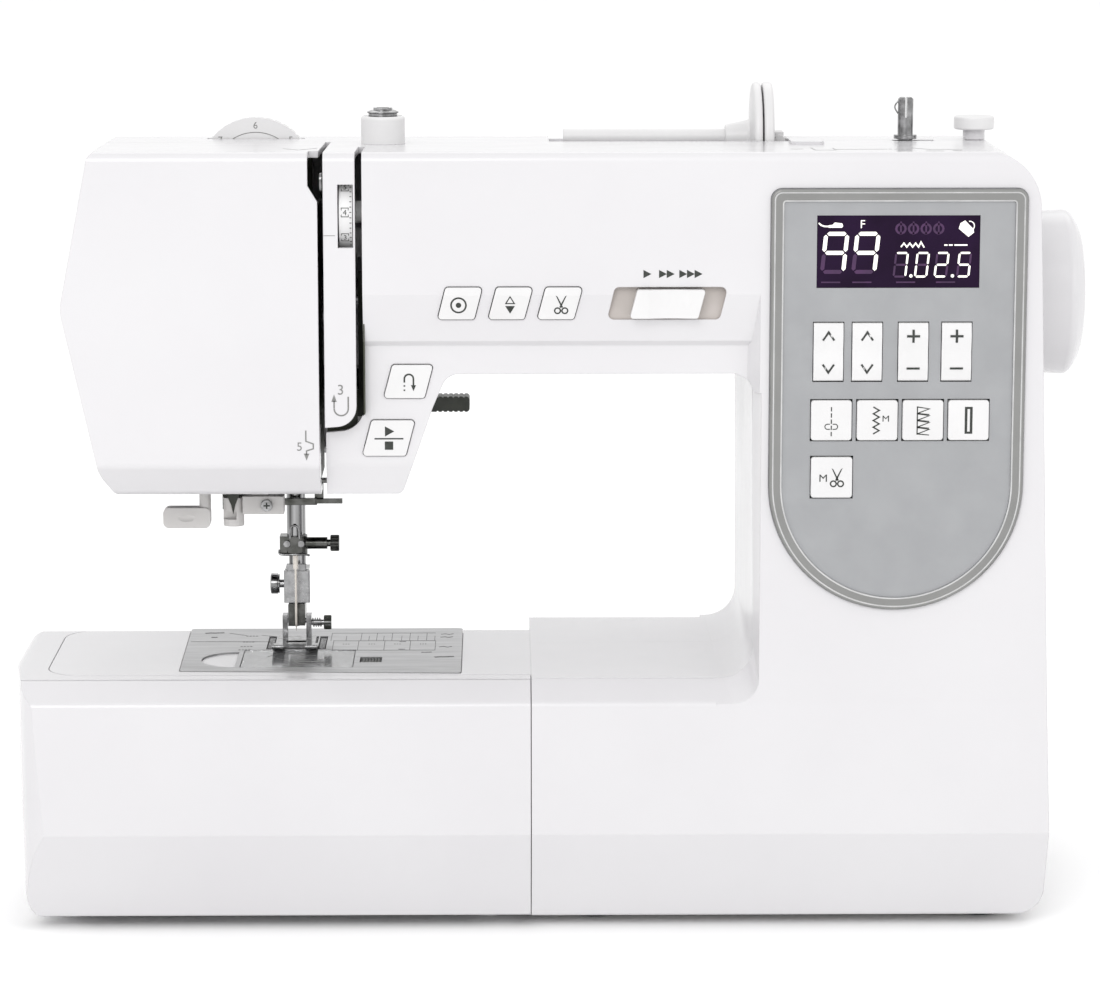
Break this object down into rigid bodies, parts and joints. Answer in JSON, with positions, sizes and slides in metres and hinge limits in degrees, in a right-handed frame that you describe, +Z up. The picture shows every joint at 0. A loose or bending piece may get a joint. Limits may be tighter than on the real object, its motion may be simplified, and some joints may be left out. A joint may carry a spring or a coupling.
{
  "type": "sewing machine",
  "caption": "Computerised household sewing machine with a free arm, slide-off storage table, control panel, needle and feed mechanism, hand wheel and bobbin winder.",
  "frame": {"origin": "middle of the machine's footprint, on the surface that its feet stand on", "axes": "+X to the operator's right along the arm, +Y away from the operator, +Z up"},
  "size_m": [0.413, 0.153, 0.3125],
  "materials": {
    "cover_white": "high gloss moulded",
    "key_white": "satin moulded",
    "lever_grey": "satin moulded",
    "panel_silver": "silver lacquer",
    "display_tint": "tinted, polished",
    "board": "solder mask",
    "plate_steel": "ground",
    "machine_steel": "ground",
    "chrome_plate": "polished",
    "cast_aluminium": "as cast",
    "bush_bronze": "sintered",
    "motor_black": "satin",
    "black_plastic": "fine texture",
    "clear_plastic": "clear moulded",
    "belt_rubber": "matte",
    "foot_rubber": "matte"
  },
  "bodies": {
    "root": {"front_cover": "cover_white", "rear_cover": "cover_white", "base_plate": "lever_grey", "rubber_feet": "foot_rubber", "cast_frame": "cast_aluminium", "free_arm_cover": "cover_white", "needle_plate": "plate_steel", "control_panel": "panel_silver", "display_window": "display_tint", "circuit_boards": "board", "winder_thread_guide": "key_white", "winder_stopper": "key_white", "drive_motor": "motor_black", "timing_belts": "belt_rubber", "power_inlet": "black_plastic", "thread_guide_bracket": "lever_grey", "shaft_bushes": "bush_bronze", "case_screws": "machine_steel"},
    "main_shaft": {"handwheel": "cover_white", "arm_shaft": "machine_steel"},
    "motor_rotor": {"motor_pulley": "machine_steel"},
    "lower_drive": {"lower_shaft": "machine_steel"},
    "hook": {"rotary_hook": "chrome_plate"},
    "bobbin": {"bobbin": "clear_plastic"},
    "needle_bar_frame": {"needle_bar_frame": "cast_aluminium"},
    "needle_bar": {"needle_bar": "chrome_plate", "needle_clamp": "chrome_plate", "needle": "chrome_plate"},
    "take_up_lever": {"take_up_lever": "chrome_plate"},
    "tension_dial": {"tension_dial": "key_white"},
    "pressure_dial": {"pressure_dial": "key_white"},
    "presser_lifter": {"presser_lifter": "black_plastic"},
    "presser_bar": {"presser_bar": "chrome_plate", "foot_holder": "chrome_plate"},
    "presser_foot": {"presser_foot": "chrome_plate"},
    "feed_dog": {"feed_dog": "machine_steel"},
    "needle_threader": {"needle_threader": "lever_grey"},
    "bobbin_cover": {"bobbin_cover": "clear_plastic"},
    "spool_pin": {"spool_pin": "key_white"},
    "spool_holder": {"spool_holder": "key_white"},
    "winder_spindle": {"winder_spindle": "chrome_plate"},
    "speed_slider": {"speed_slider": "key_white"},
    "face_cover": {"face_cover": "cover_white"},
    "extension_table": {"extension_table": "cover_white"},
    "table_lid": {"table_lid": "cover_white"},
    "power_switch": {"power_switch": "black_plastic"},
    "lock_button": {"lock_button": "key_white"},
    "needle_position_button": {"needle_position_button": "key_white"},
    "thread_cut_button": {"thread_cut_button": "key_white"},
    "reverse_button": {"reverse_button": "key_white"},
    "start_stop_button": {"start_stop_button": "key_white"},
    "straight_stitch_key": {"straight_stitch_key": "key_white"},
    "zigzag_stitch_key": {"zigzag_stitch_key": "key_white"},
    "overcast_stitch_key": {"overcast_stitch_key": "key_white"},
    "buttonhole_key": {"buttonhole_key": "key_white"},
    "memory_key": {"memory_key": "key_white"},
    "pattern_tens_key": {"pattern_tens_key": "key_white"},
    "pattern_units_key": {"pattern_units_key": "key_white"},
    "stitch_width_key": {"stitch_width_key": "key_white"},
    "stitch_length_key": {"stitch_length_key": "key_white"}
  },
  "joints": [
    {"name": "handwheel_turn", "type": "hinge", "parent": "root", "child": "main_shaft", "pos_m": [0.195, 0.013, 0.232], "axis": [1, 0, 0], "continuous": true},
    {"name": "motor_turn", "type": "hinge", "parent": "root", "child": "motor_rotor", "pos_m": [0.16, 0.042, 0.044], "axis": [1, 0, 0], "continuous": true},
    {"name": "lower_shaft_turn", "type": "hinge", "parent": "root", "child": "lower_drive", "pos_m": [0, -0.0071, 0.062], "axis": [1, 0, 0], "continuous": true},
    {"name": "hook_turn", "type": "hinge", "parent": "root", "child": "hook", "pos_m": [-0.0983, -0.0275, 0.062], "axis": [0, 0, 1], "continuous": true},
    {"name": "bobbin_turn", "type": "hinge", "parent": "root", "child": "bobbin", "pos_m": [-0.0983, -0.0275, 0.083], "axis": [0, 0, 1], "continuous": true},
    {"name": "stitch_width_swing", "type": "hinge", "parent": "root", "child": "needle_bar_frame", "pos_m": [-0.0983, 0.01, 0.268], "axis": [0, 1, 0], "range_deg": [-1.1, 1.1]},
    {"name": "needle_bar_slide", "type": "slide", "parent": "needle_bar_frame", "child": "needle_bar", "axis": [0, 0, 1], "range_m": [-0.027, 0.004]},
    {"name": "take_up_swing", "type": "hinge", "parent": "root", "child": "take_up_lever", "pos_m": [-0.079, -0.022, 0.256], "axis": [1, 0, 0], "range_deg": [-2, 42]},
    {"name": "tension_dial_turn", "type": "hinge", "parent": "root", "child": "tension_dial", "pos_m": [-0.072, -0.0577, 0.2705], "axis": [1, 0, 0], "range_deg": [-150, 150]},
    {"name": "pressure_dial_turn", "type": "hinge", "parent": "root", "child": "pressure_dial", "pos_m": [-0.1136, 0.027, 0.2767], "axis": [0, 1, 0], "range_deg": [-75, 15]},
    {"name": "presser_lifter_swing", "type": "hinge", "parent": "root", "child": "presser_lifter", "pos_m": [-0.082, 0.04, 0.188], "axis": [0, -1, 0], "range_deg": [0, 25]},
    {"name": "presser_bar_lift", "type": "slide", "parent": "root", "child": "presser_bar", "axis": [0, 0, 1], "range_m": [0, 0.006]},
    {"name": "presser_foot_tilt", "type": "hinge", "parent": "presser_bar", "child": "presser_foot", "pos_m": [-0.0983, -0.0002, 0.105], "axis": [1, 0, 0], "range_deg": [-5, 0]},
    {"name": "feed_dog_slide", "type": "slide", "parent": "root", "child": "feed_dog", "axis": [0, 1, 0], "range_m": [-0.002, 0.002]},
    {"name": "needle_threader_slide", "type": "slide", "parent": "root", "child": "needle_threader", "axis": [0, 0, 1], "range_m": [-0.035, 0], "stiffness_N_per_m": 40},
    {"name": "bobbin_cover_pop_up", "type": "hinge", "parent": "root", "child": "bobbin_cover", "pos_m": [-0.0965, -0.01425, 0.0955], "axis": [-1, 0, 0], "range_deg": [0, 5]},
    {"name": "spool_pin_raise", "type": "hinge", "parent": "root", "child": "spool_pin", "pos_m": [0.0895, 0.024, 0.2905], "axis": [0, 1, 0], "range_deg": [0, 25]},
    {"name": "spool_holder_slide", "type": "slide", "parent": "spool_pin", "child": "spool_holder", "axis": [-1, 0, 0], "range_m": [0, 0.066]},
    {"name": "winder_spindle_slide", "type": "slide", "parent": "root", "child": "winder_spindle", "axis": [1, 0, 0], "range_m": [0, 0.006]},
    {"name": "speed_slider_slide", "type": "slide", "parent": "root", "child": "speed_slider", "axis": [1, 0, 0], "range_m": [-0.0075, 0.0075]},
    {"name": "face_cover_swing", "type": "hinge", "parent": "root", "child": "face_cover", "pos_m": [-0.1803, 0, 0.23], "axis": [0, 0, -1], "range_deg": [0, 95]},
    {"name": "extension_table_slide", "type": "slide", "parent": "root", "child": "extension_table", "axis": [-1, 0, 0], "range_m": [0, 0.2]},
    {"name": "table_lid_fold", "type": "hinge", "parent": "extension_table", "child": "table_lid", "pos_m": [-0.1, -0.0618, 0.0074], "axis": [1, 0, 0], "range_deg": [0, 76]},
    {"name": "power_switch_rock", "type": "hinge", "parent": "root", "child": "power_switch", "pos_m": [0.182, -0.012, 0.057], "axis": [0, 0, 1], "range_deg": [-5, 5]},
    {"name": "lock_button_press", "type": "slide", "parent": "root", "child": "lock_button", "axis": [0, 1, 0], "range_m": [0, 0.001], "stiffness_N_per_m": 400},
    {"name": "needle_position_button_press", "type": "slide", "parent": "root", "child": "needle_position_button", "axis": [0, 1, 0], "range_m": [0, 0.001], "stiffness_N_per_m": 400},
    {"name": "thread_cut_button_press", "type": "slide", "parent": "root", "child": "thread_cut_button", "axis": [0, 1, 0], "range_m": [0, 0.001], "stiffness_N_per_m": 400},
    {"name": "reverse_button_press", "type": "slide", "parent": "root", "child": "reverse_button", "axis": [0, 1, 0], "range_m": [0, 0.001], "stiffness_N_per_m": 400},
    {"name": "start_stop_button_press", "type": "slide", "parent": "root", "child": "start_stop_button", "axis": [0, 1, 0], "range_m": [0, 0.001], "stiffness_N_per_m": 400},
    {"name": "straight_stitch_key_press", "type": "slide", "parent": "root", "child": "straight_stitch_key", "axis": [0, 1, 0], "range_m": [0, 0.001], "stiffness_N_per_m": 400},
    {"name": "zigzag_stitch_key_press", "type": "slide", "parent": "root", "child": "zigzag_stitch_key", "axis": [0, 1, 0], "range_m": [0, 0.001], "stiffness_N_per_m": 400},
    {"name": "overcast_stitch_key_press", "type": "slide", "parent": "root", "child": "overcast_stitch_key", "axis": [0, 1, 0], "range_m": [0, 0.001], "stiffness_N_per_m": 400},
    {"name": "buttonhole_key_press", "type": "slide", "parent": "root", "child": "buttonhole_key", "axis": [0, 1, 0], "range_m": [0, 0.001], "stiffness_N_per_m": 400},
    {"name": "memory_key_press", "type": "slide", "parent": "root", "child": "memory_key", "axis": [0, 1, 0], "range_m": [0, 0.001], "stiffness_N_per_m": 400},
    {"name": "pattern_tens_key_rock", "type": "hinge", "parent": "root", "child": "pattern_tens_key", "pos_m": [0.10135, -0.0718, 0.22055], "axis": [1, 0, 0], "range_deg": [-3, 3], "stiffness_Nm_per_rad": 0.06},
    {"name": "pattern_units_key_rock", "type": "hinge", "parent": "root", "child": "pattern_units_key", "pos_m": [0.11555, -0.0718, 0.22055], "axis": [1, 0, 0], "range_deg": [-3, 3], "stiffness_Nm_per_rad": 0.06},
    {"name": "stitch_width_key_rock", "type": "hinge", "parent": "root", "child": "stitch_width_key", "pos_m": [0.13245, -0.0718, 0.22055], "axis": [1, 0, 0], "range_deg": [-3, 3], "stiffness_Nm_per_rad": 0.06},
    {"name": "stitch_length_key_rock", "type": "hinge", "parent": "root", "child": "stitch_length_key", "pos_m": [0.14835, -0.0718, 0.22055], "axis": [1, 0, 0], "range_deg": [-3, 3], "stiffness_Nm_per_rad": 0.06}
  ],
  "couplings": [
    {"joint": "motor_turn", "follows": "handwheel_turn", "ratio": 3.6667},
    {"joint": "lower_shaft_turn", "follows": "handwheel_turn", "ratio": 1},
    {"joint": "hook_turn", "follows": "handwheel_turn", "ratio": 2},
    {"joint": "presser_lifter_swing", "follows": "presser_bar_lift", "rad_per_m": 72.72}
  ]
}
